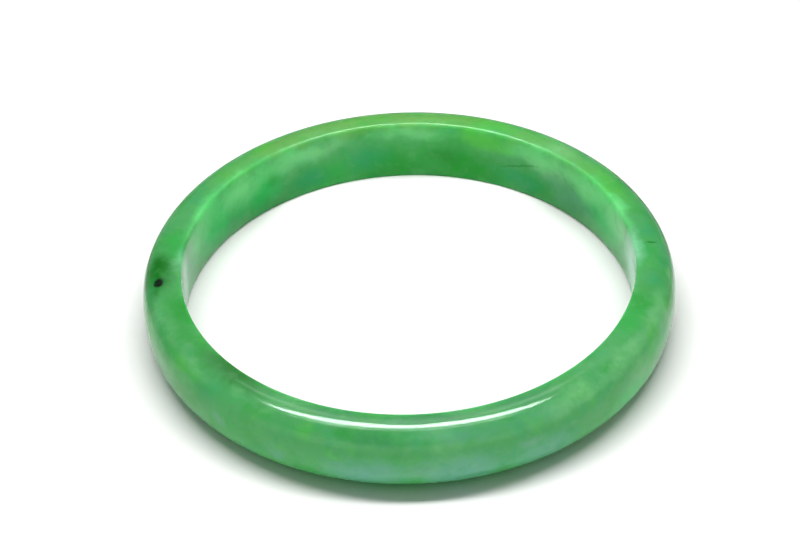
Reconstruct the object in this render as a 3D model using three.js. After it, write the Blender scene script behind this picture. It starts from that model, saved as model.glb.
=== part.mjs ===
// A closed jade bangle: one solid ring of stone, ground and polished all over.
// Millimetres, +Z up. The ring lies flat on its lower rim: the origin is on the
// ring's axis, in the plane of that rim.
import * as THREE from "three";

// Driving dimensions
const BORE_DIAMETER = 57.0; // flat inner wall, the bangle's stated size
const WALL = 5.15; // bore wall to the crown of the outer dome
const WIDTH = 8.75; // rim to rim, along the axis
const EDGE_RADIUS = 0.45; // eased edge between the bore and each rim
const RIM_LAND = 0.5; // narrow flat that the ring rests on
const DOME_EXPONENT = 2.55; // 2 is an ellipse, more is squarer at the shoulders

// Fineness of the facets
const RING_STEPS = 128;
const DOME_STEPS = 14;
const EDGE_STEPS = 3;

const BORE_RADIUS = BORE_DIAMETER / 2;

/** Signed power, so that a superellipse keeps its sign on both halves. */
function signedPower(value, exponent) {
  return Math.sign(value) * Math.abs(value) ** exponent;
}

/** Quarter-round between the bore wall and one rim; side is +1 above, -1 below. */
function easedEdge(side) {
  const centreRadius = BORE_RADIUS + EDGE_RADIUS;
  const centreHeight = WIDTH / 2 + side * (WIDTH / 2 - EDGE_RADIUS);
  const points = [];
  for (let step = 0; step <= EDGE_STEPS; step += 1) {
    const turn = (Math.PI / 2) * (step / EDGE_STEPS);
    points.push(
      new THREE.Vector2(
        centreRadius - EDGE_RADIUS * Math.cos(turn),
        centreHeight + side * EDGE_RADIUS * Math.sin(turn),
      ),
    );
  }
  return points;
}

/** Superelliptic outer dome, from the lower rim round to the upper rim. */
function outerDome() {
  const rootRadius = BORE_RADIUS + EDGE_RADIUS + RIM_LAND;
  const height = WALL - EDGE_RADIUS - RIM_LAND;
  const power = 2 / DOME_EXPONENT;
  const points = [];
  for (let step = 0; step <= DOME_STEPS; step += 1) {
    const turn = Math.PI * (step / DOME_STEPS - 0.5);
    points.push(
      new THREE.Vector2(
        rootRadius + height * Math.cos(turn) ** power,
        (WIDTH / 2) * (1 + signedPower(Math.sin(turn), power)),
      ),
    );
  }
  return points;
}

/** Closed section of the ring: lower edge and rim, dome, upper rim and edge, bore wall. */
function ringSection() {
  const outline = [...easedEdge(-1), ...outerDome(), ...easedEdge(1).reverse()];
  return [...outline, outline[0].clone()];
}

/** The section turned once round the ring's axis, then stood up on +Z. */
function ringGeometry() {
  const geometry = new THREE.LatheGeometry(ringSection(), RING_STEPS);
  return geometry.rotateX(Math.PI / 2);
}

const jade = new THREE.MeshStandardMaterial({
  color: 0x57a06b,
  roughness: 0.12,
  metalness: 0,
});

const ring = new THREE.Mesh(ringGeometry(), jade);
ring.name = "jade_ring";

const bangle = new THREE.Group();
bangle.add(ring);

export default bangle;
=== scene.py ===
"""A closed jade bangle: its polished stone ring, a white table, studio light and a camera.

Everything is in metres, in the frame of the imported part: +Z up, the origin on the ring's axis
in the plane of the table. Stone patterns are laid out in millimetres, as a carver would say them.
"""

import logging
import math
from dataclasses import dataclass, field
from enum import Enum
from typing import Iterable

import bpy
from mathutils import Matrix, Vector


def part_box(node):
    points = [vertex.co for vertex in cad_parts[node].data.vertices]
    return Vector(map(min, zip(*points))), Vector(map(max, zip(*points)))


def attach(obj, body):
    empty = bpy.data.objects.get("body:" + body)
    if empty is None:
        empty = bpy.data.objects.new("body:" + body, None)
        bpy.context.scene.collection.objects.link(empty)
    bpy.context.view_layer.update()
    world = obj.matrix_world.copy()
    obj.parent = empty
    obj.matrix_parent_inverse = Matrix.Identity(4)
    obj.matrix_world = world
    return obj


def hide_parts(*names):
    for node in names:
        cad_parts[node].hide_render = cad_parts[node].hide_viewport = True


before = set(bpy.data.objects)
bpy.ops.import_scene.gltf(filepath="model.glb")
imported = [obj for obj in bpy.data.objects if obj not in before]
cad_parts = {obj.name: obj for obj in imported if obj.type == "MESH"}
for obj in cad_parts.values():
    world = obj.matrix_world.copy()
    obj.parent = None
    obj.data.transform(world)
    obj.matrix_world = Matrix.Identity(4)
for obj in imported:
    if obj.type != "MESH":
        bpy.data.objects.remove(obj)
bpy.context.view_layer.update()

LOG = logging.getLogger("bangle")
MM = 0.001
NOISE_MIDDLE = 0.5  # a noise texture's values lie about this one

# the colour sockets of a Mix node, whose names its other sockets share
MIX_FACTOR = 0
MIX_BELOW = 6
MIX_ABOVE = 7
MIX_RESULT = 2

Value = bpy.types.NodeSocket | float | int | tuple[float, ...] | bpy.types.Material


# ------------------------------------------------------------
# Node wiring
# ------------------------------------------------------------


class Wiring:
    """Short calls for adding nodes to one node tree and joining them."""

    def __init__(self, tree: bpy.types.NodeTree) -> None:
        """Keep the tree that the nodes go into.

        Args:
            tree: a geometry, shader or world node tree.
        """
        self.tree = tree

    def feed(self, socket: bpy.types.NodeSocket, value: Value) -> None:
        """Link a socket to another one, or set its plain value.

        Args:
            socket: the input to feed.
            value: an output socket to link from, or the value to set.
        """
        if isinstance(value, bpy.types.NodeSocket):
            self.tree.links.new(value, socket)
        else:
            socket.default_value = value

    def add(
        self, kind: str, inputs: dict[str | int, Value] | None = None, **settings: object
    ) -> bpy.types.Node:
        """Add one node, with its settings and inputs.

        Args:
            kind: the node's type name.
            inputs: values or sockets by input name or number.
            **settings: the node's own properties, such as operation.

        Returns:
            The new node.
        """
        node = self.tree.nodes.new(kind)
        for name, setting in settings.items():
            setattr(node, name, setting)
        for key, value in (inputs or {}).items():
            self.feed(node.inputs[key], value)
        return node

    def math(self, operation: str, first: Value, second: Value = 0.0) -> bpy.types.NodeSocket:
        """Return the result of one Math node on one or two values."""
        return self.add("ShaderNodeMath", {0: first, 1: second}, operation=operation).outputs[0]

    def vector(self, operation: str, first: Value, second: Value) -> bpy.types.NodeSocket:
        """Return the vector that one Vector Math node makes of two vectors."""
        node = self.add("ShaderNodeVectorMath", {0: first, 1: second}, operation=operation)
        return node.outputs[0]

    def length(self, vector: Value) -> bpy.types.NodeSocket:
        """Return how long a vector is."""
        node = self.add("ShaderNodeVectorMath", {0: vector}, operation="LENGTH")
        return node.outputs["Value"]

    def split(self, vector: Value) -> bpy.types.NodeOutputs:
        """Return a vector's X, Y and Z."""
        return self.add("ShaderNodeSeparateXYZ", {0: vector}).outputs

    def either(self, chosen: Value, no: Value, yes: Value) -> bpy.types.NodeSocket:
        """Return one of two numbers, by a value that is 0 or 1."""
        node = self.add("ShaderNodeMix", {0: chosen, 2: no, 3: yes}, data_type="FLOAT")
        return node.outputs[0]

    def scale(self, vector: Value, factor: Value) -> bpy.types.NodeSocket:
        """Return a vector times a number."""
        node = self.add("ShaderNodeVectorMath", {0: vector, "Scale": factor}, operation="SCALE")
        return node.outputs[0]

    def ramp(
        self, value: Value, low: Value, high: Value, bottom: Value = 0.0, top: Value = 1.0
    ) -> bpy.types.NodeSocket:
        """Carry a value smoothly from one range to another.

        Args:
            value: what is mapped.
            low: the value that gives bottom, which may lie above the other one.
            high: the value that gives top.
            bottom: the result at low and beyond it.
            top: the result at high and beyond it.

        Returns:
            The mapped value.
        """
        inputs = {"Value": value, "From Min": low, "From Max": high, "To Min": bottom, "To Max": top}
        return self.add("ShaderNodeMapRange", inputs, interpolation_type="SMOOTHSTEP").outputs[0]

    def blend(self, factor: Value, below: Value, above: Value) -> bpy.types.NodeSocket:
        """Lay one colour over another.

        Args:
            factor: 0 leaves below, 1 shows above.
            below: the colour underneath.
            above: the colour laid over it.

        Returns:
            The blended colour.
        """
        node = self.add("ShaderNodeMix", data_type="RGBA")
        self.feed(node.inputs[MIX_FACTOR], factor)
        self.feed(node.inputs[MIX_BELOW], below)
        self.feed(node.inputs[MIX_ABOVE], above)
        return node.outputs[MIX_RESULT]


def new_group(
    name: str,
    kind: str,
    inputs: Iterable[tuple[str, str, object]],
    outputs: Iterable[tuple[str, str]],
) -> Wiring:
    """Start a node group with named sockets.

    Args:
        name: the group's name.
        kind: ShaderNodeTree or GeometryNodeTree.
        inputs: name, socket type and default of each input, None for no default.
        outputs: name and socket type of each output.

    Returns:
        The wiring of the new group.
    """
    tree = bpy.data.node_groups.new(name, kind)
    for label, socket_type, default in inputs:
        socket = tree.interface.new_socket(label, in_out="INPUT", socket_type=socket_type)
        if default is not None:
            socket.default_value = default
    for label, socket_type in outputs:
        tree.interface.new_socket(label, in_out="OUTPUT", socket_type=socket_type)
    return Wiring(tree)


# ------------------------------------------------------------
# The stone
# ------------------------------------------------------------


class Tone(Enum):
    """Colours of the stone, and of light and shade painted on it, as linear red, green and blue."""

    APPLE = (0.060, 0.290, 0.088, 1.0)
    EMERALD = (0.006, 0.235, 0.016, 1.0)
    DEEP = (0.002, 0.120, 0.003, 1.0)
    FERN = (0.016, 0.300, 0.042, 1.0)
    SPRING = (0.012, 0.430, 0.085, 1.0)
    LEAF = (0.065, 0.380, 0.034, 1.0)
    MINT = (0.145, 0.400, 0.165, 1.0)
    TEAL = (0.098, 0.290, 0.205, 1.0)
    SEA = (0.030, 0.205, 0.070, 1.0)
    LAGOON = (0.020, 0.265, 0.100, 1.0)
    # the next four also serve as painted light and shade: a lit band, a sheen over a real
    # yellow-green, a shade and a pale glare
    PAINTED_BORE_LIGHT = (0.150, 0.560, 0.200, 1.0)
    MOSS_AND_RIM_SHEEN = (0.120, 0.340, 0.060, 1.0)
    PAINTED_RIM_SHADE = (0.105, 0.250, 0.055, 1.0)
    PAINTED_PALE_LIGHT = (0.310, 0.620, 0.440, 1.0)
    LAVENDER = (0.140, 0.290, 0.240, 1.0)
    INK = (0.001, 0.005, 0.002, 1.0)


@dataclass(frozen=True)
class Patch:
    """One cloud, fleck or hairline that lies at a set place in the stone, or a patch of painted
    light or shade there.

    Attributes:
        tone: its colour.
        azimuth: degrees round the ring, 0 on +X and 90 on +Y.
        outward: millimetres out from the bore wall.
        up: millimetres above the lower rim.
        size: half sizes in millimetres: outward, along the ring, up.
        strength: how far the colour covers what is under it.
        lean: degrees that it leans from upright towards the azimuth's growth.
        core: share of the half size that has full strength.
        fine: True for a small piece with a finely ragged edge.
    """

    tone: Tone
    azimuth: float
    outward: float
    up: float
    size: tuple[float, float, float]
    strength: float
    lean: float = 0.0
    core: float = 0.1
    fine: bool = False


PATCHES = (
    # broad zones of the flat rim, round from the left
    Patch(Tone.EMERALD, -163.0, 1.1, 8.7, (2.8, 7.0, 2.4), 0.85),
    Patch(Tone.DEEP, -137.0, 0.9, 8.8, (2.8, 8.5, 2.6), 0.80),
    Patch(Tone.SEA, -108.0, 1.2, 8.8, (2.2, 6.0, 2.2), 0.55),
    Patch(Tone.SEA, -86.0, 1.2, 8.8, (2.2, 8.0, 2.2), 0.85),
    Patch(Tone.SEA, -64.0, 1.2, 8.8, (2.2, 6.5, 2.2), 0.65),
    Patch(Tone.FERN, -24.0, 1.4, 8.7, (2.3, 7.0, 2.2), 0.85),
    Patch(Tone.FERN, 0.0, 1.4, 8.7, (2.3, 6.0, 2.2), 0.45),
    Patch(Tone.LEAF, 28.0, 1.4, 8.7, (2.3, 8.0, 2.2), 0.60),
    Patch(Tone.MINT, 47.0, 1.4, 8.6, (2.6, 4.2, 2.2), 0.75),
    Patch(Tone.LEAF, 68.0, 1.9, 8.6, (2.4, 7.5, 2.2), 0.65),
    Patch(Tone.MINT, 108.0, 1.6, 8.6, (2.4, 6.5, 2.2), 0.40),
    # partly the stone's yellow-green, partly a painted sheen: warmer and paler along the back of the
    # rim, where its edge shines
    Patch(Tone.MOSS_AND_RIM_SHEEN, 41.0, 1.4, 8.7, (2.4, 7.0, 2.2), 0.35),
    Patch(Tone.MOSS_AND_RIM_SHEEN, 83.0, 1.4, 8.7, (2.4, 9.0, 2.2), 0.65),
    Patch(Tone.MOSS_AND_RIM_SHEEN, 56.0, 1.4, 8.7, (2.4, 5.5, 2.2), 0.50),
    Patch(Tone.MOSS_AND_RIM_SHEEN, 101.0, 1.4, 8.7, (2.4, 9.0, 2.2), 0.55),
    Patch(Tone.FERN, 100.0, 1.6, 8.7, (2.4, 8.0, 2.2), 0.30),
    Patch(Tone.MOSS_AND_RIM_SHEEN, 121.0, 1.4, 8.7, (2.4, 9.0, 2.2), 0.50),
    Patch(Tone.MOSS_AND_RIM_SHEEN, 139.0, 1.4, 8.7, (2.4, 7.0, 2.2), 0.35),
    Patch(Tone.FERN, 172.0, 1.4, 8.7, (2.3, 5.0, 2.2), 0.75),
    # painted shade: darker bands along the outer and inner edges of the back rim, which dull the
    # shine of their polish
    Patch(Tone.PAINTED_RIM_SHADE, 76.0, 2.0, 8.5, (2.0, 8.0, 1.6), 0.50),
    Patch(Tone.PAINTED_RIM_SHADE, 92.0, 2.0, 8.5, (2.0, 8.0, 1.6), 0.60),
    Patch(Tone.PAINTED_RIM_SHADE, 108.0, 2.0, 8.5, (2.0, 8.0, 1.6), 0.65),
    Patch(Tone.PAINTED_RIM_SHADE, 124.0, 2.0, 8.5, (2.0, 8.0, 1.6), 0.50),
    Patch(Tone.PAINTED_RIM_SHADE, 83.0, 0.2, 8.6, (1.3, 8.0, 1.3), 0.45),
    Patch(Tone.PAINTED_RIM_SHADE, 100.0, 0.2, 8.6, (1.3, 8.0, 1.3), 0.45),
    Patch(Tone.PAINTED_RIM_SHADE, 118.0, 0.2, 8.6, (1.3, 8.0, 1.3), 0.45),
    # broad zones of the dome
    Patch(Tone.DEEP, -180.0, 4.4, 6.0, (1.7, 4.4, 2.6), 0.85),
    Patch(Tone.EMERALD, -166.0, 5.0, 4.8, (1.7, 7.0, 2.9), 0.75),
    Patch(Tone.EMERALD, -145.0, 5.0, 4.8, (1.7, 7.0, 2.9), 0.72),
    Patch(Tone.FERN, -131.0, 5.0, 4.8, (1.7, 5.0, 2.8), 0.60),
    Patch(Tone.MINT, -161.0, 3.3, 7.8, (1.2, 6.0, 1.2), 0.45),
    Patch(Tone.MINT, -145.0, 3.3, 7.8, (1.2, 4.5, 1.1), 0.50),
    Patch(Tone.MINT, -127.0, 2.9, 8.1, (1.2, 5.0, 0.9), 0.55),
    Patch(Tone.TEAL, -100.0, 5.2, 3.0, (2.2, 8.0, 4.2), 0.90),
    Patch(Tone.TEAL, -80.0, 5.2, 3.0, (2.2, 8.0, 4.2), 0.90),
    Patch(Tone.TEAL, -62.0, 5.2, 2.8, (2.2, 7.0, 4.0), 0.70),
    Patch(Tone.SEA, -99.0, 3.5, 7.6, (1.7, 7.0, 1.6), 0.55),
    # painted sheen: a pale teal haze on the upper front dome, below the bright line that the polish
    # shines there
    Patch(Tone.TEAL, -80.0, 3.5, 7.7, (1.7, 8.0, 1.6), 0.55),
    Patch(Tone.TEAL, -62.0, 3.5, 7.7, (1.7, 7.0, 1.6), 0.40),
    Patch(Tone.MINT, -52.0, 3.4, 7.8, (1.9, 7.0, 1.5), 0.80),
    Patch(Tone.MINT, -36.0, 3.6, 7.7, (1.9, 7.0, 1.4), 0.85),
    Patch(Tone.MINT, -20.0, 3.7, 7.6, (2.0, 6.5, 2.0), 0.75),
    Patch(Tone.SPRING, -36.0, 5.0, 3.0, (1.8, 7.5, 3.2), 0.55),
    Patch(Tone.FERN, -26.0, 4.9, 5.6, (1.5, 5.5, 1.7), 0.80),
    Patch(Tone.EMERALD, -10.0, 4.6, 6.2, (1.5, 7.0, 1.8), 0.75),
    Patch(Tone.EMERALD, 10.0, 4.3, 6.6, (1.6, 7.0, 1.9), 0.80),
    Patch(Tone.DEEP, 31.0, 3.6, 7.3, (1.5, 9.0, 1.5), 0.90),
    Patch(Tone.DEEP, 48.0, 3.7, 7.3, (1.4, 6.0, 1.4), 0.60),
    # painted light: a pale fringe along the dome's outer back edge, where the white room behind
    # glows round it
    Patch(Tone.PAINTED_PALE_LIGHT, 43.0, 4.0, 7.3, (1.5, 8.0, 1.3), 0.50),
    Patch(Tone.PAINTED_PALE_LIGHT, 122.0, 4.0, 7.3, (1.5, 9.0, 1.3), 0.65),
    Patch(Tone.PAINTED_PALE_LIGHT, 139.0, 4.0, 7.3, (1.5, 7.0, 1.3), 0.45),
    Patch(Tone.EMERALD, 152.0, 3.9, 7.2, (1.6, 9.0, 1.5), 0.55),
    Patch(Tone.EMERALD, 172.0, 4.0, 7.0, (1.6, 5.0, 1.7), 0.70),
    # broad zones of the bore wall
    Patch(Tone.SPRING, 24.0, 0.0, 4.6, (2.4, 9.0, 6.0), 1.0),
    Patch(Tone.SPRING, 152.0, 0.0, 4.6, (2.4, 10.5, 6.0), 1.0),
    Patch(Tone.SPRING, 132.0, 0.0, 4.0, (1.6, 6.0, 5.0), 0.75),
    Patch(Tone.FERN, 54.0, 0.0, 2.2, (1.6, 7.5, 4.0), 0.65),
    Patch(Tone.EMERALD, 73.0, 0.0, 2.4, (1.8, 9.0, 5.0), 0.92),
    Patch(Tone.EMERALD, 93.0, 0.0, 2.4, (1.8, 9.0, 4.8), 0.80),
    Patch(Tone.FERN, 112.0, 0.0, 2.2, (1.8, 8.0, 4.2), 0.80),
    # partly the stone's mint and leaf, partly painted light: the bore wall paler towards its top
    Patch(Tone.MINT, 48.0, 0.2, 5.8, (1.6, 5.6, 3.2), 0.80),
    Patch(Tone.LEAF, 68.0, 0.2, 7.2, (1.2, 8.0, 2.2), 0.70),
    Patch(Tone.MINT, 90.0, 0.2, 7.6, (1.2, 7.5, 1.6), 0.45),
    Patch(Tone.MINT, 114.0, 0.2, 7.0, (1.3, 7.0, 2.0), 0.65),
    # painted light: a bright band along the top of the bore wall, where light comes in through the
    # rim
    Patch(Tone.PAINTED_BORE_LIGHT, 20.0, 0.0, 7.0, (1.8, 7.0, 4.2), 0.75),
    Patch(Tone.TEAL, 40.0, 0.0, 3.6, (1.6, 7.0, 3.6), 0.35),
    Patch(Tone.PAINTED_BORE_LIGHT, 34.0, 0.0, 6.4, (1.8, 7.0, 3.2), 0.75),
    Patch(Tone.PAINTED_BORE_LIGHT, 52.0, 0.0, 7.0, (1.8, 8.0, 2.2), 0.50),
    Patch(Tone.PAINTED_BORE_LIGHT, 86.0, 0.0, 7.2, (1.8, 9.0, 1.6), 0.25),
    Patch(Tone.PAINTED_BORE_LIGHT, 122.0, 0.0, 6.6, (1.8, 8.0, 2.6), 0.55),
    Patch(Tone.PAINTED_BORE_LIGHT, 140.0, 0.0, 6.2, (1.8, 7.0, 3.8), 0.80),
    Patch(Tone.PAINTED_BORE_LIGHT, 158.0, 0.0, 7.0, (1.8, 7.0, 4.2), 0.60),
    # painted reflection: pale glare where the bore wall, seen edge-on at left and right, mirrors the
    # white table
    Patch(Tone.PAINTED_PALE_LIGHT, 3.0, 0.0, 5.0, (2.2, 6.5, 6.5), 1.0),
    Patch(Tone.PAINTED_PALE_LIGHT, 177.0, 0.0, 5.0, (2.2, 4.0, 6.0), 0.60),
    # clouds of middle size
    Patch(Tone.EMERALD, -151.0, 1.0, 8.8, (1.5, 3.4, 1.0), 0.60),
    Patch(Tone.LEAF, -149.5, 4.0, 7.2, (1.6, 2.6, 1.3), 0.50),
    Patch(Tone.DEEP, -135.0, 2.0, 8.5, (1.6, 0.8, 2.4), 0.55),
    Patch(Tone.LAVENDER, -134.0, 5.0, 4.8, (1.6, 2.2, 1.4), 0.35),
    Patch(Tone.EMERALD, -125.0, 5.0, 4.4, (1.6, 2.8, 2.2), 0.40),
    Patch(Tone.TEAL, -119.0, 5.1, 3.4, (1.4, 1.8, 1.4), 0.50),
    Patch(Tone.LEAF, -106.5, 4.8, 5.6, (1.2, 2.4, 0.9), 0.60),
    Patch(Tone.EMERALD, -104.5, 3.6, 7.6, (1.2, 1.9, 1.1), 0.45),
    Patch(Tone.LAVENDER, -88.0, 5.1, 3.8, (1.4, 3.4, 1.7), 0.30),
    Patch(Tone.LAVENDER, -66.0, 4.6, 5.6, (1.6, 3.0, 1.6), 0.45),
    Patch(Tone.APPLE, -77.0, 3.8, 7.4, (1.6, 1.8, 1.4), 0.50),
    Patch(Tone.SEA, -97.0, 3.4, 7.6, (1.3, 3.6, 1.0), 0.40),
    Patch(Tone.SEA, -76.0, 5.0, 2.0, (1.4, 5.0, 0.9), 0.45),
    Patch(Tone.EMERALD, -45.0, 5.0, 4.2, (1.6, 3.0, 1.9), 0.35),
    Patch(Tone.LEAF, -25.0, 4.2, 7.0, (1.6, 2.6, 1.2), 0.30),
    Patch(Tone.EMERALD, -18.0, 1.6, 8.6, (1.8, 3.4, 1.4), 0.60),
    Patch(Tone.LAGOON, -9.5, 2.4, 8.4, (2.0, 2.2, 1.8), 0.55),
    Patch(Tone.MINT, -5.0, 3.9, 7.4, (1.3, 2.2, 0.8), 0.40),
    Patch(Tone.LAGOON, 8.5, 2.2, 8.5, (2.2, 2.6, 2.0), 0.45),
    Patch(Tone.LAGOON, 56.0, 0.2, 2.6, (2.0, 4.6, 2.6), 0.70),
    Patch(Tone.DEEP, 79.0, 0.2, 3.8, (1.6, 3.6, 1.6), 0.35),
    Patch(Tone.LAGOON, 100.0, 0.2, 3.6, (2.2, 5.0, 3.2), 0.60),
    Patch(Tone.LAGOON, 116.0, 0.2, 2.4, (2.2, 4.0, 2.8), 0.70),
    Patch(Tone.LEAF, 127.0, 2.6, 8.3, (2.0, 3.6, 1.2), 0.45),
    Patch(Tone.EMERALD, 128.0, 0.2, 5.0, (1.4, 2.4, 2.0), 0.30),
    # the dark inclusion and its halo, flecks and hairlines
    Patch(Tone.DEEP, -178.5, 2.7, 8.2, (3.2, 4.8, 2.6), 0.90),
    Patch(Tone.DEEP, 178.5, 2.8, 8.3, (2.4, 3.6, 2.4), 0.80),
    Patch(Tone.DEEP, -172.5, 3.6, 7.7, (1.2, 2.0, 1.2), 0.45),
    Patch(Tone.INK, -175.2, 2.85, 8.2, (0.85, 1.10, 0.9), 1.0, core=0.6, fine=True),
    Patch(Tone.INK, -134.0, 4.8, 5.6, (0.4, 0.5, 0.35), 0.55, fine=True),
    Patch(Tone.DEEP, 4.2, 2.3, 8.4, (1.0, 0.34, 1.0), 0.80, core=0.3, fine=True),
    Patch(Tone.DEEP, -168.0, 3.8, 7.3, (0.9, 0.14, 0.9), 0.70, lean=18.0, core=0.3, fine=True),
    Patch(Tone.DEEP, 58.0, 0.1, 4.6, (0.8, 4.6, 0.24), 0.50, lean=20.0, core=0.3, fine=True),
)


def patch_group() -> bpy.types.NodeTree:
    """Build the group that gives the mask of one patch.

    Returns:
        A shader group: Position, Azimuth, Lean, Centre, Half Size and Core in, Mask out.
    """
    wiring = new_group(
        "Stone patch",
        "ShaderNodeTree",
        (
            ("Position", "NodeSocketVector", None),
            ("Azimuth", "NodeSocketFloat", 0.0),
            ("Lean", "NodeSocketFloat", 0.0),
            ("Centre", "NodeSocketVector", (31.0, 0.0, 4.0)),
            ("Half Size", "NodeSocketVector", (1.0, 1.0, 1.0)),
            ("Core", "NodeSocketFloat", 0.1),
        ),
        (("Mask", "NodeSocketFloat"),),
    )
    source = wiring.add("NodeGroupInput").outputs
    back_turn = wiring.math("MULTIPLY", source["Azimuth"], -1.0)
    turned = wiring.add(
        "ShaderNodeVectorRotate",
        {"Vector": source["Position"], "Angle": back_turn},
        rotation_type="Z_AXIS",
    ).outputs[0]
    offset = wiring.vector("SUBTRACT", turned, source["Centre"])
    leaned = wiring.add(
        "ShaderNodeVectorRotate",
        {"Vector": offset, "Angle": source["Lean"]},
        rotation_type="X_AXIS",
    ).outputs[0]
    share = wiring.vector("DIVIDE", leaned, source["Half Size"])
    mask = wiring.ramp(wiring.length(share), 1.0, source["Core"])
    wiring.add("NodeGroupOutput", {"Mask": mask})
    return wiring.tree


def cloud_group() -> bpy.types.NodeTree:
    """Build the group that gives one layer of cloud in the stone.

    Returns:
        A shader group: Position, Grain Size, Detail, Tangle, Seed, Low and High in, Mask out.
    """
    wiring = new_group(
        "Stone cloud",
        "ShaderNodeTree",
        (
            ("Position", "NodeSocketVector", None),
            ("Grain Size", "NodeSocketFloat", 5.0),
            ("Detail", "NodeSocketFloat", 3.0),
            ("Tangle", "NodeSocketFloat", 0.0),
            ("Seed", "NodeSocketFloat", 0.0),
            ("Low", "NodeSocketFloat", 0.4),
            ("High", "NodeSocketFloat", 0.6),
        ),
        (("Mask", "NodeSocketFloat"),),
    )
    source = wiring.add("NodeGroupInput").outputs
    inputs = {
        "Vector": source["Position"],
        "W": source["Seed"],
        "Scale": wiring.math("DIVIDE", 1.0, source["Grain Size"]),
        "Detail": source["Detail"],
        "Roughness": 0.55,
        "Distortion": source["Tangle"],
    }
    noise = wiring.add("ShaderNodeTexNoise", inputs, noise_dimensions="4D").outputs[0]
    mask = wiring.ramp(noise, source["Low"], source["High"])
    wiring.add("NodeGroupOutput", {"Mask": mask})
    return wiring.tree


def ragged_group() -> bpy.types.NodeTree:
    """Build the group that pushes positions about, so that edges laid on them are ragged.

    Returns:
        A shader group: Position, Grain Size and Push in, Position out.
    """
    wiring = new_group(
        "Stone ragged edge",
        "ShaderNodeTree",
        (
            ("Position", "NodeSocketVector", None),
            ("Grain Size", "NodeSocketFloat", 2.0),
            ("Push", "NodeSocketFloat", 1.0),
        ),
        (("Position", "NodeSocketVector"),),
    )
    source = wiring.add("NodeGroupInput").outputs
    inputs = {
        "Vector": source["Position"],
        "Scale": wiring.math("DIVIDE", 1.0, source["Grain Size"]),
        "Detail": 4.0,
        "Roughness": 0.6,
    }
    noise = wiring.add("ShaderNodeTexNoise", inputs).outputs["Color"]
    centred = wiring.vector("SUBTRACT", noise, (NOISE_MIDDLE,) * 3)
    push = wiring.scale(centred, wiring.math("MULTIPLY", source["Push"], 2.0))
    moved = wiring.vector("ADD", source["Position"], push)
    wiring.add("NodeGroupOutput", {"Position": moved})
    return wiring.tree


def polish_group() -> bpy.types.NodeTree:
    """Build the group for a hand-polished stone face: soft waves, hair scratches and haze.

    Returns:
        A shader group: Position, Wave Size, Scratch, Gloss and Haze in, Height and Roughness out.
    """
    wiring = new_group(
        "Hand polish",
        "ShaderNodeTree",
        (
            ("Position", "NodeSocketVector", None),
            ("Wave Size", "NodeSocketFloat", 3.0),
            ("Scratch", "NodeSocketFloat", 0.1),
            ("Gloss", "NodeSocketFloat", 0.10),
            ("Haze", "NodeSocketFloat", 0.04),
        ),
        (("Height", "NodeSocketFloat"), ("Roughness", "NodeSocketFloat")),
    )
    hair_turn = (0.5, 0.3, 0.9)
    hair_stretch = (1.0, 26.0, 1.0)
    hair_starts = 0.66
    hair_full = 0.72
    haze_starts = 0.45
    haze_full = 0.7
    scuff_share = 0.6
    source = wiring.add("NodeGroupInput").outputs
    wave_scale = wiring.math("DIVIDE", 1.0, source["Wave Size"])
    wave = wiring.add(
        "ShaderNodeTexNoise",
        {"Vector": source["Position"], "Scale": wave_scale, "Detail": 1.0},
    ).outputs[0]
    stretched = wiring.add(
        "ShaderNodeMapping",
        {"Vector": source["Position"], "Rotation": hair_turn, "Scale": hair_stretch},
    ).outputs[0]
    hair = wiring.add(
        "ShaderNodeTexNoise",
        {"Vector": stretched, "Scale": 0.5, "Detail": 2.0, "Roughness": 0.7},
    ).outputs[0]
    hairline = wiring.ramp(hair, hair_starts, hair_full)
    scratch = wiring.math("MULTIPLY", hairline, source["Scratch"])
    height = wiring.math("SUBTRACT", wave, scratch)
    smear = wiring.add(
        "ShaderNodeTexNoise",
        {"Vector": source["Position"], "Scale": 0.22, "Detail": 4.0, "Roughness": 0.6},
    ).outputs[0]
    haze = wiring.math("MULTIPLY", wiring.ramp(smear, haze_starts, haze_full), source["Haze"])
    scuff = wiring.math("MULTIPLY", scratch, scuff_share)
    roughness = wiring.math("ADD", wiring.math("ADD", haze, scuff), source["Gloss"])
    wiring.add("NodeGroupOutput", {"Height": height, "Roughness": roughness})
    return wiring.tree


@dataclass(frozen=True)
class CloudLayer:
    """One layer of natural cloud: its tone, size in millimetres and how much of it shows."""

    tone: Tone
    grain_size: float
    seed: float
    low: float
    high: float
    strength: float
    detail: float = 3.0
    tangle: float = 0.4


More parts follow.
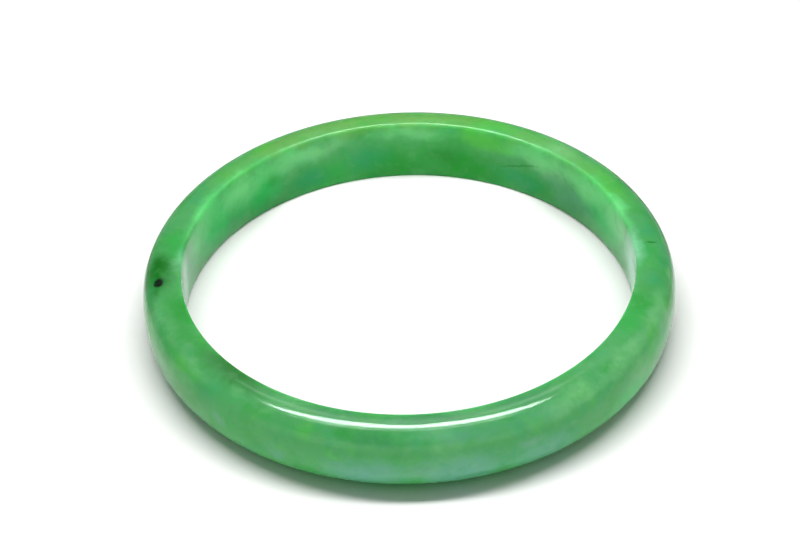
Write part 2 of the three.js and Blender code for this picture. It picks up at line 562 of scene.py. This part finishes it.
@dataclass(frozen=True)
class JadeFinish:
    """Polished green jade: clouded, slightly clear stone under a glassy surface.

    Attributes:
        bore_radius: metres, where a patch's outward distance starts.
        layers: the natural clouds, broad ones first.
        mottles: the fine clouds that lie over everything.
        patches: what lies at set places.
        broad_edge: millimetres, grain size and push of the raggedness of broad patches.
        fine_edge: the same for fine ones.
        relief: how far the polish's waves and scratches tilt the face.
        relief_depth: metres that they stand for.
        refraction: index of refraction of the polished face.
        shine_tint: colour that the polish gives to what it reflects.
        glow_depth: metres that light travels in the stone before it scatters.
        glow_tint: share of that depth in red, green and blue.
    """

    bore_radius: float
    layers: tuple[CloudLayer, ...] = (
        CloudLayer(Tone.MINT, 7.0, 1.7, 0.50, 0.70, 0.35),
        CloudLayer(Tone.EMERALD, 6.0, 5.2, 0.50, 0.68, 0.40),
        CloudLayer(Tone.LAGOON, 5.0, 9.4, 0.50, 0.70, 0.40),
        CloudLayer(Tone.LEAF, 3.4, 3.1, 0.56, 0.72, 0.35),
        CloudLayer(Tone.LAVENDER, 3.0, 7.7, 0.58, 0.76, 0.12),
    )
    mottles: tuple[CloudLayer, ...] = (
        CloudLayer(Tone.EMERALD, 1.9, 2.3, 0.50, 0.70, 0.19),
        CloudLayer(Tone.MINT, 1.5, 6.1, 0.52, 0.72, 0.12),
        CloudLayer(Tone.LAGOON, 0.9, 4.6, 0.54, 0.74, 0.12),
    )
    patches: tuple[Patch, ...] = PATCHES
    broad_edge: tuple[float, float] = (3.5, 1.6)
    fine_edge: tuple[float, float] = (0.8, 0.28)
    relief: float = 0.25
    relief_depth: float = 0.02 * MM
    refraction: float = 1.40
    shine_tint: tuple[float, float, float, float] = (0.84, 1.0, 0.90, 1.0)
    glow_depth: float = 0.0030
    glow_tint: tuple[float, float, float] = (0.45, 1.0, 0.6)

    def material(self) -> bpy.types.Material:
        """Build the stone's material.

        Returns:
            The finished material.
        """
        material = bpy.data.materials.new("polished jade")
        material.use_nodes = True
        wiring = Wiring(material.node_tree)
        material.node_tree.nodes.clear()
        place = wiring.add("ShaderNodeTexCoord").outputs["Object"]
        position = wiring.scale(place, 1.0 / MM)
        colour = self.colour(wiring, position)
        polish = wiring.add("ShaderNodeGroup", node_tree=polish_group())
        wiring.feed(polish.inputs["Position"], position)
        bump = wiring.add(
            "ShaderNodeBump",
            {
                "Height": polish.outputs["Height"],
                "Strength": self.relief,
                "Distance": self.relief_depth,
            },
        )
        stone = wiring.add(
            "ShaderNodeBsdfPrincipled",
            {
                "Base Color": colour,
                "Roughness": polish.outputs["Roughness"],
                "Normal": bump.outputs[0],
                "IOR": self.refraction,
                "Specular Tint": self.shine_tint,
                "Subsurface Weight": 1.0,
                "Subsurface Radius": self.glow_tint,
                "Subsurface Scale": self.glow_depth,
            },
        )
        wiring.add("ShaderNodeOutputMaterial", {"Surface": stone.outputs[0]})
        return material

    def colour(self, wiring: Wiring, position: bpy.types.NodeSocket) -> bpy.types.NodeSocket:
        """Lay the clouds, the placed patches and the fine grain over the body colour.

        Args:
            wiring: the material's wiring.
            position: the point in millimetres.

        Returns:
            The stone's colour.
        """
        cloud = cloud_group()
        ragged = ragged_group()
        spot = patch_group()
        broad_rag = wiring.add("ShaderNodeGroup", node_tree=ragged)
        fine_rag = wiring.add("ShaderNodeGroup", node_tree=ragged)
        for rag, (grain_size, push) in ((broad_rag, self.broad_edge), (fine_rag, self.fine_edge)):
            wiring.feed(rag.inputs["Position"], position)
            wiring.feed(rag.inputs["Grain Size"], grain_size)
            wiring.feed(rag.inputs["Push"], push)
        colour: Value = Tone.APPLE.value
        for layer in self.layers:
            colour = self.lay_cloud(wiring, cloud, position, colour, layer)
        for patch in self.patches:
            node = wiring.add("ShaderNodeGroup", node_tree=spot)
            rag = fine_rag if patch.fine else broad_rag
            centre = (self.bore_radius / MM + patch.outward, 0.0, patch.up)
            wiring.feed(node.inputs["Position"], rag.outputs[0])
            wiring.feed(node.inputs["Azimuth"], math.radians(patch.azimuth))
            wiring.feed(node.inputs["Lean"], math.radians(patch.lean))
            wiring.feed(node.inputs["Centre"], centre)
            wiring.feed(node.inputs["Half Size"], patch.size)
            wiring.feed(node.inputs["Core"], patch.core)
            factor = wiring.math("MULTIPLY", node.outputs[0], patch.strength)
            colour = wiring.blend(factor, colour, patch.tone.value)
        for layer in self.mottles:
            colour = self.lay_cloud(wiring, cloud, position, colour, layer)
        return colour

    @staticmethod
    def lay_cloud(
        wiring: Wiring,
        cloud: bpy.types.NodeTree,
        position: bpy.types.NodeSocket,
        below: Value,
        layer: CloudLayer,
    ) -> bpy.types.NodeSocket:
        """Lay one layer of cloud over a colour.

        Args:
            wiring: the material's wiring.
            cloud: the cloud group.
            position: the point in millimetres.
            below: the colour underneath.
            layer: the layer to lay.

        Returns:
            The colour with the layer on it.
        """
        node = wiring.add("ShaderNodeGroup", node_tree=cloud)
        wiring.feed(node.inputs["Position"], position)
        wiring.feed(node.inputs["Grain Size"], layer.grain_size)
        wiring.feed(node.inputs["Detail"], layer.detail)
        wiring.feed(node.inputs["Tangle"], layer.tangle)
        wiring.feed(node.inputs["Seed"], layer.seed)
        wiring.feed(node.inputs["Low"], layer.low)
        wiring.feed(node.inputs["High"], layer.high)
        factor = wiring.math("MULTIPLY", node.outputs[0], layer.strength)
        return wiring.blend(factor, below, layer.tone.value)


# ------------------------------------------------------------
# The ring
# ------------------------------------------------------------


@dataclass
class DomedRing:
    """The bangle itself: a D section turned round the axis, flat in the bore and domed outside.

    The section is two half superellipses on one upright line, where the rims are: a shallow,
    nearly square one towards the bore and a deeper, rounder one towards the outside.

    Attributes:
        node: the CAD node that the ring stands for.
        bore_radius: metres from the axis to the bore wall.
        rim_foot: metres from the bore wall out to the line of the rims.
        bore_exponent: squareness of the bore half.
        dome_exponent: squareness of the dome half, 2 being an ellipse.
        ring_steps: faces round the ring.
        section_steps: faces round the section.
        waver: metres that hand grinding leaves the faces off true.
        waver_size: metres from one such wave to the next.
        seed: picks the waves.
    """

    node: str = "jade_ring"
    bore_radius: float = 0.0285
    rim_foot: float = 0.00095
    bore_exponent: float = 7.0
    dome_exponent: float = 2.55
    ring_steps: int = 640
    section_steps: int = 120
    waver: float = 0.00003
    waver_size: float = 0.011
    seed: float = 4.0
    wall: float = field(init=False)
    width: float = field(init=False)

    def __post_init__(self) -> None:
        """Take the wall and the width from the CAD ring's box."""
        low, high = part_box(self.node)
        self.wall = (high[0] - low[0]) / 2 - self.bore_radius
        self.width = high[2] - low[2]

    def tree(self) -> bpy.types.NodeTree:
        """Build the Geometry Nodes tree that turns the ring.

        Returns:
            The tree, with a named input for every size.
        """
        wiring = new_group(
            "Turned D ring",
            "GeometryNodeTree",
            (
                ("Geometry", "NodeSocketGeometry", None),
                ("Bore Radius", "NodeSocketFloat", 0.03),
                ("Wall", "NodeSocketFloat", 0.005),
                ("Width", "NodeSocketFloat", 0.009),
                ("Rim Foot", "NodeSocketFloat", 0.001),
                ("Bore Exponent", "NodeSocketFloat", 8.0),
                ("Dome Exponent", "NodeSocketFloat", 2.5),
                ("Ring Steps", "NodeSocketInt", 96),
                ("Section Steps", "NodeSocketInt", 48),
                ("Waver", "NodeSocketFloat", 0.0),
                ("Waver Size", "NodeSocketFloat", 0.01),
                ("Seed", "NodeSocketFloat", 0.0),
                ("Material", "NodeSocketMaterial", None),
            ),
            (("Geometry", "NodeSocketGeometry"),),
        )
        sizes = wiring.add("NodeGroupInput").outputs
        section = self.section(wiring, sizes)
        path = wiring.add(
            "GeometryNodeCurvePrimitiveCircle",
            {"Resolution": sizes["Ring Steps"], "Radius": sizes["Bore Radius"]},
            mode="RADIUS",
        ).outputs["Curve"]
        path = wiring.add("GeometryNodeSetCurveNormal", {"Curve": path}, mode="Z_UP").outputs[0]
        turned = wiring.add(
            "GeometryNodeCurveToMesh",
            {"Curve": path, "Profile Curve": section},
        ).outputs[0]
        worn = self.hand_ground(wiring, sizes, turned)
        smooth = wiring.add("GeometryNodeSetShadeSmooth", {"Geometry": worn}).outputs[0]
        real = wiring.add("GeometryNodeRealizeInstances", {"Geometry": smooth}).outputs[0]
        dressed = wiring.add(
            "GeometryNodeSetMaterial",
            {"Geometry": real, "Material": sizes["Material"]},
        ).outputs[0]
        wiring.add("NodeGroupOutput", {"Geometry": dressed})
        return wiring.tree

    def section(self, wiring: Wiring, sizes: bpy.types.NodeOutputs) -> bpy.types.NodeSocket:
        """Bend a unit circle into the D section, on either side of the line of the rims.

        Args:
            wiring: the tree's wiring.
            sizes: the tree's inputs.

        Returns:
            The section as a closed curve: X out from the bore wall, Y downwards with zero at
            the lower rim.
        """
        circle = wiring.add(
            "GeometryNodeCurvePrimitiveCircle",
            {"Resolution": sizes["Section Steps"], "Radius": 1.0},
            mode="RADIUS",
        ).outputs["Curve"]
        position = wiring.add("GeometryNodeInputPosition").outputs[0]
        parts = wiring.split(position)
        outside = wiring.math("GREATER_THAN", parts["X"], 0.0)
        dome_depth = wiring.math("SUBTRACT", sizes["Wall"], sizes["Rim Foot"])
        depth = wiring.either(outside, sizes["Rim Foot"], dome_depth)
        exponent = wiring.either(outside, sizes["Bore Exponent"], sizes["Dome Exponent"])
        power = wiring.math("DIVIDE", 2.0, exponent)
        reach = wiring.math("MULTIPLY", self.signed_power(wiring, parts["X"], power), depth)
        half_width = wiring.math("MULTIPLY", sizes["Width"], 0.5)
        rise = wiring.math("MULTIPLY", self.signed_power(wiring, parts["Y"], power), half_width)
        out = wiring.math("ADD", reach, sizes["Rim Foot"])
        down = wiring.math("SUBTRACT", rise, half_width)
        bent = wiring.add("ShaderNodeCombineXYZ", {"X": out, "Y": down}).outputs[0]
        node = wiring.add("GeometryNodeSetPosition", {"Geometry": circle, "Position": bent})
        return node.outputs[0]

    @staticmethod
    def signed_power(wiring: Wiring, value: Value, power: Value) -> bpy.types.NodeSocket:
        """Raise a number's size to a power and keep its sign."""
        size = wiring.math("POWER", wiring.math("ABSOLUTE", value), power)
        return wiring.math("MULTIPLY", size, wiring.math("SIGN", value))

    def hand_ground(
        self, wiring: Wiring, sizes: bpy.types.NodeOutputs, ring: Value
    ) -> bpy.types.NodeSocket:
        """Leave the dome and the bore wall a hair off true, and the rims flat.

        Args:
            wiring: the tree's wiring.
            sizes: the tree's inputs.
            ring: the true ring.

        Returns:
            The ring with its faint waves.
        """
        position = wiring.add("GeometryNodeInputPosition").outputs[0]
        normal = wiring.add("GeometryNodeInputNormal").outputs[0]
        noise = wiring.add(
            "ShaderNodeTexNoise",
            {
                "Vector": position,
                "W": sizes["Seed"],
                "Scale": wiring.math("DIVIDE", 1.0, sizes["Waver Size"]),
                "Detail": 1.0,
            },
            noise_dimensions="4D",
        ).outputs[0]
        upright = wiring.split(normal)["Z"]
        off_rim = wiring.math("SUBTRACT", 1.0, wiring.math("MULTIPLY", upright, upright))
        swing = wiring.math("MULTIPLY", wiring.math("SUBTRACT", noise, NOISE_MIDDLE), 2.0)
        amount = wiring.math("MULTIPLY", wiring.math("MULTIPLY", swing, off_rim), sizes["Waver"])
        offset = wiring.scale(normal, amount)
        node = wiring.add("GeometryNodeSetPosition", {"Geometry": ring, "Offset": offset})
        return node.outputs[0]

    def build(self, finish: JadeFinish) -> bpy.types.Object:
        """Turn the ring, make it a plain mesh and stand it in for its CAD node.

        Args:
            finish: the stone's finish.

        Returns:
            The finished ring.
        """
        tree = self.tree()
        blank = bpy.data.objects.new("ring_blank", bpy.data.meshes.new("ring_blank"))
        bpy.context.scene.collection.objects.link(blank)
        modifier = blank.modifiers.new("turned ring", "NODES")
        modifier.node_group = tree
        values = {
            "Bore Radius": self.bore_radius,
            "Wall": self.wall,
            "Width": self.width,
            "Rim Foot": self.rim_foot,
            "Bore Exponent": self.bore_exponent,
            "Dome Exponent": self.dome_exponent,
            "Ring Steps": self.ring_steps,
            "Section Steps": self.section_steps,
            "Waver": self.waver,
            "Waver Size": self.waver_size,
            "Seed": self.seed,
            "Material": finish.material(),
        }
        for item in tree.interface.items_tree:
            if item.in_out == "INPUT" and item.name in values:
                modifier[item.identifier] = values[item.name]
        graph = bpy.context.evaluated_depsgraph_get()
        mesh = bpy.data.meshes.new_from_object(blank.evaluated_get(graph))
        mesh.name = "polished_ring"
        bpy.data.objects.remove(blank)
        ring = bpy.data.objects.new("polished_ring", mesh)
        bpy.context.scene.collection.objects.link(ring)
        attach(ring, "root")
        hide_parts(self.node)
        return ring


# ------------------------------------------------------------
# Table, light and camera
# ------------------------------------------------------------


@dataclass
class Table:
    """The plain white table top, which isn't part of the bangle.

    Attributes:
        half_size: metres from the middle to each edge.
        white: its colour as linear red, green and blue.
        roughness: of its matt face.
        sheen: strength of that face's own reflection.
        dim_white: how much of its white polished faces show, behind the ring and amid it.
        ring_reach: metres from the middle to under the ring's wall.
        back_fade: metres towards the back where that starts and where it is full.
        amid_fade: metres to the left or right where it starts, amid the ring, and is full.
    """

    half_size: float = 3.0
    white: tuple[float, float, float, float] = (0.80, 0.78, 0.79, 1.0)
    roughness: float = 0.55
    sheen: float = 0.2
    dim_white: float = 0.25
    ring_reach: float = 0.031
    back_fade: tuple[float, float] = (0.005, 0.018)
    amid_fade: tuple[float, float] = (0.025, 0.018)

    def build(self) -> bpy.types.Object:
        """Lay the table top.

        Returns:
            The table top.
        """
        reach = self.half_size
        signs = ((-1, -1), (1, -1), (1, 1), (-1, 1))
        corners = [(across * reach, along * reach, 0.0) for across, along in signs]
        mesh = bpy.data.meshes.new("table_top")
        mesh.from_pydata(corners, (), ((0, 1, 2, 3),))
        mesh.materials.append(self.material())
        table = bpy.data.objects.new("table_top", mesh)
        bpy.context.scene.collection.objects.link(table)
        return table

    def material(self) -> bpy.types.Material:
        """Build the matt white of the table top, dimmer in places to polished faces.

        Returns:
            The material.
        """
        material = bpy.data.materials.new("matt white")
        material.use_nodes = True
        wiring = Wiring(material.node_tree)
        place = wiring.add("ShaderNodeTexCoord").outputs["Object"]
        outside = wiring.math("GREATER_THAN", wiring.length(place), self.ring_reach)
        parts = wiring.split(place)
        behind = wiring.ramp(parts["Y"], *self.back_fade)
        amid = wiring.ramp(wiring.math("ABSOLUTE", parts["X"]), *self.amid_fade)
        dim_part = wiring.either(outside, amid, behind)
        polished = wiring.add("ShaderNodeLightPath").outputs["Is Glossy Ray"]
        dimmed = wiring.math("MULTIPLY", dim_part, polished)
        dim = tuple(channel * self.dim_white for channel in self.white[:3]) + (1.0,)
        surface = material.node_tree.nodes["Principled BSDF"]
        wiring.feed(surface.inputs["Base Color"], wiring.blend(dimmed, self.white, dim))
        surface.inputs["Roughness"].default_value = self.roughness
        surface.inputs["Specular IOR Level"].default_value = self.sheen
        return material


class Reach(Enum):
    """What a studio light does to the set."""

    BODY = "lights the stone's body and the table"
    STONE = "lights the stone's body alone"
    TABLE = "lights the table alone"
    THROUGH = "lights the table alone, and the stone doesn't stop it"
    SHINE = "only shines in polished faces"


@dataclass(frozen=True)
class Softbox:
    """One rectangular studio light that faces the bangle.

    Attributes:
        name: what it is.
        place: metres.
        size: metres, across and along.
        power: watts.
        reach: what it lights.
        turn: degrees about X, Y and Z, from facing straight down.
        spread: degrees of the cone that it lights.
        colour: as linear red, green and blue.
    """

    name: str
    place: tuple[float, float, float]
    size: tuple[float, float]
    power: float
    reach: Reach
    turn: tuple[float, float, float] = (0.0, 0.0, 0.0)
    spread: float = 180.0
    colour: tuple[float, float, float] = (1.0, 1.0, 1.0)

    def build(self, stone: bpy.types.Collection, table: bpy.types.Collection) -> bpy.types.Object:
        """Hang the light.

        Args:
            stone: holds what a light for the stone alone reaches.
            table: holds what a light for the table alone reaches.

        Returns:
            The light.
        """
        data = bpy.data.lights.new(self.name, "AREA")
        data.shape = "RECTANGLE"
        data.size, data.size_y = self.size
        data.energy = self.power
        data.color = self.colour
        data.spread = math.radians(self.spread)
        light = bpy.data.objects.new(self.name, data)
        light.location = self.place
        light.rotation_euler = [math.radians(angle) for angle in self.turn]
        light.visible_camera = False
        light.visible_glossy = self.reach is Reach.SHINE
        light.visible_diffuse = self.reach is not Reach.SHINE
        light.visible_transmission = self.reach is not Reach.SHINE
        if self.reach is Reach.STONE:
            light.light_linking.receiver_collection = stone
        if self.reach in (Reach.TABLE, Reach.THROUGH):
            light.light_linking.receiver_collection = table
        if self.reach is Reach.THROUGH:
            light.light_linking.blocker_collection = table
        bpy.context.scene.collection.objects.link(light)
        return light


@dataclass
class Studio:
    """Soft light from all round, the softboxes and a small lamp over the middle of the ring.

    Attributes:
        even_glow: the room's light on bodies from front and back.
        side_glow: what the sides add to it.
        front_share: how much of that is left towards the front.
        front_fade: depths in the room, from -1 to 1, between which it grows from that to all.
        front_shine: what polished faces show of the low room in front of the table.
        low_shine: what they show of the low room beside and behind it.
        high_shine: what they show of it higher up.
        back_shine: what they show of the wall behind the table, at mid height.
        low_fade: depths between which the low room turns from its back shine to its front one.
        low_top: heights, from 0 to 1, where the low room ends and where the high one is full.
        band_foot: heights between which the wall's band of light grows.
        band_top: heights, the upper one first, between which the band ends.
        lamp_height: metres from the table up to the small lamp.
        lamp_radius: metres.
        lamp_power: watts.
        boxes: the softboxes.
    """

    even_glow: float = 0.01
    side_glow: float = 0.93
    front_share: float = 0.05
    front_fade: tuple[float, float] = (-0.7, 0.0)
    front_shine: float = 1.5
    low_shine: float = 0.1
    high_shine: float = 0.38
    back_shine: float = 0.8
    low_fade: tuple[float, float] = (0.1, -0.5)
    low_top: tuple[float, float] = (0.46, 0.52)
    band_foot: tuple[float, float] = (0.60, 0.68)
    band_top: tuple[float, float] = (0.88, 0.80)
    lamp_height: float = 0.014
    lamp_radius: float = 0.004
    lamp_power: float = 0.003
    boxes: tuple[Softbox, ...] = (
        Softbox("overhead key", (0.0, 0.105, 0.50), (0.55, 0.07), 3.75, Reach.STONE),
        Softbox(
            "table key", (0.0, 0.083, 0.50), (0.55, 0.065), 3.4, Reach.TABLE,
            colour=(1.0, 0.895, 0.965),
        ),
        Softbox(
            "green glow", (0.0, 0.083, 0.50), (0.55, 0.065), 3.4, Reach.THROUGH,
            colour=(0.0, 0.125, 0.040),
        ),
        Softbox(
            "back bore fill", (0.0, 0.006, 0.035), (0.02, 0.02), 0.002, Reach.BODY,
            turn=(33.0, 0.0, 0.0), spread=100.0,
        ),
        Softbox(
            "back foot fill", (0.0, 0.0235, 0.0075), (0.034, 0.004), 0.001, Reach.TABLE,
            turn=(22.0, 0.0, 0.0), spread=120.0,
        ),
        Softbox(
            "low front", (0.0, -0.50, 0.045), (0.50, 0.09), 1.95, Reach.STONE,
            turn=(85.0, 0.0, 0.0),
        ),
        Softbox(
            "left strip", (-0.079, 0.177, 0.50), (0.200, 0.125), 2.60, Reach.SHINE,
            turn=(0.0, 0.0, 38.0),
        ),
        Softbox(
            "right strip", (0.064, 0.184, 0.50), (0.174, 0.12), 2.15, Reach.SHINE,
            turn=(0.0, 0.0, -37.0),
        ),
        Softbox(
            "end strip", (0.150, 0.120, 0.50), (0.012, 0.05), 0.035, Reach.SHINE,
            turn=(0.0, 0.0, -24.0),
        ),
        Softbox("near strip", (-0.02, 0.105, 0.50), (0.36, 0.10), 1.90, Reach.SHINE),
        Softbox("far glow", (0.0, 0.39, 0.50), (0.22, 0.12), 0.20, Reach.SHINE),
    )

    def build(self, ring: bpy.types.Object, table_top: bpy.types.Object) -> None:
        """Light the room and hang the lights.

        Args:
            ring: what a light for the stone alone reaches.
            table_top: what a light for the table alone reaches.
        """
        self.light_room()
        stone = bpy.data.collections.new("stone")
        stone.objects.link(ring)
        table = bpy.data.collections.new("table")
        table.objects.link(table_top)
        for box in self.boxes:
            box.build(stone, table)
        data = bpy.data.lights.new("bore lamp", "POINT")
        data.energy = self.lamp_power
        data.shadow_soft_size = self.lamp_radius
        lamp = bpy.data.objects.new("bore lamp", data)
        lamp.location = (0.0, 0.0, self.lamp_height)
        lamp.visible_camera = False
        lamp.visible_glossy = False
        bpy.context.scene.collection.objects.link(lamp)

    def light_room(self) -> None:
        """Set the room's own light, which polished faces show otherwise than bodies catch it."""
        world = bpy.data.worlds.new("white room")
        bpy.context.scene.world = world
        world.use_nodes = True
        wiring = Wiring(world.node_tree)
        world.node_tree.nodes.clear()
        direction = wiring.add("ShaderNodeTexCoord").outputs["Generated"]
        parts = wiring.split(direction)
        beside = wiring.math("MULTIPLY", wiring.math("ABSOLUTE", parts["X"]), self.side_glow)
        share = wiring.ramp(parts["Y"], *self.front_fade, self.front_share, 1.0)
        sideways = wiring.math("MULTIPLY", beside, share)
        body = wiring.math("ADD", sideways, self.even_glow)
        wall = wiring.math("MULTIPLY", parts["Y"], self.back_shine)
        behind = wiring.math("MAXIMUM", wall, 0.0)
        height = parts["Z"]
        foot = wiring.ramp(height, *self.band_foot)
        band = wiring.math("MULTIPLY", foot, wiring.ramp(height, *self.band_top))
        upper = wiring.math("ADD", wiring.math("MULTIPLY", behind, band), self.high_shine)
        lower = wiring.ramp(parts["Y"], *self.low_fade, self.low_shine, self.front_shine)
        shine = wiring.ramp(height, *self.low_top, lower, upper)
        polished = wiring.add("ShaderNodeLightPath").outputs["Is Glossy Ray"]
        glow = wiring.either(polished, body, shine)
        background = wiring.add(
            "ShaderNodeBackground",
            {"Color": (1.0, 1.0, 1.0, 1.0), "Strength": glow},
        )
        wiring.add("ShaderNodeOutputWorld", {"Surface": background.outputs[0]})


@dataclass(frozen=True)
class ProductCamera:
    """A long lens that looks down on the bangle from in front.

    Attributes:
        elevation: degrees above the table.
        distance: metres from the ring's foot centre.
        lens: millimetres, on a 36 mm wide sensor.
        aim_right: slope that the aim is turned to the right of the centre.
        aim_up: slope that the aim is raised over the centre.
        roll: degrees that the camera leans anticlockwise.
        near: metres, and nothing nearer shows.
    """

    elevation: float = 40.28
    distance: float = 0.382
    lens: float = 134.6
    aim_right: float = -0.0028
    aim_up: float = 0.0154
    roll: float = -1.907
    near: float = 0.01

    def build(self) -> bpy.types.Object:
        """Set up the camera and make it the scene's.

        Returns:
            The camera.
        """
        rise = math.radians(self.elevation)
        place = Vector((0.0, -math.cos(rise), math.sin(rise))) * self.distance
        aim = Vector((self.aim_right, math.cos(rise), -math.sin(rise)))
        aim += Vector((0.0, math.sin(rise), math.cos(rise))) * self.aim_up
        aim.normalize()
        right = aim.cross(Vector((0.0, 0.0, 1.0))).normalized()
        up = right.cross(aim)
        turn = math.radians(self.roll)
        side = right * math.cos(turn) + up * math.sin(turn)
        top = up * math.cos(turn) - right * math.sin(turn)
        data = bpy.data.cameras.new("product camera")
        data.lens = self.lens
        data.clip_start = self.near
        camera = bpy.data.objects.new("product camera", data)
        facing = Matrix((side, top, -aim)).transposed().to_4x4()
        camera.matrix_world = Matrix.Translation(place) @ facing
        bpy.context.scene.collection.objects.link(camera)
        bpy.context.scene.camera = camera
        return camera


def report_piece(piece: bpy.types.Object) -> None:
    """Log one piece's name, faces and size.

    Args:
        piece: a finished mesh object.
    """
    size = " x ".join(f"{side / MM:.2f}" for side in piece.dimensions)
    LOG.info("%s: %d faces, %s mm", piece.name, len(piece.data.polygons), size)


def main() -> None:
    """Build the bangle, then the table, the lights and the camera."""
    logging.basicConfig(level=logging.INFO, format="%(name)s: %(message)s")
    bpy.context.scene.view_settings.view_transform = "Standard"
    shape = DomedRing()
    ring = shape.build(JadeFinish(bore_radius=shape.bore_radius))
    report_piece(ring)
    table_top = Table().build()
    report_piece(table_top)
    Studio().build(ring, table_top)
    ProductCamera().build()


if __name__ == "__main__":
    main()
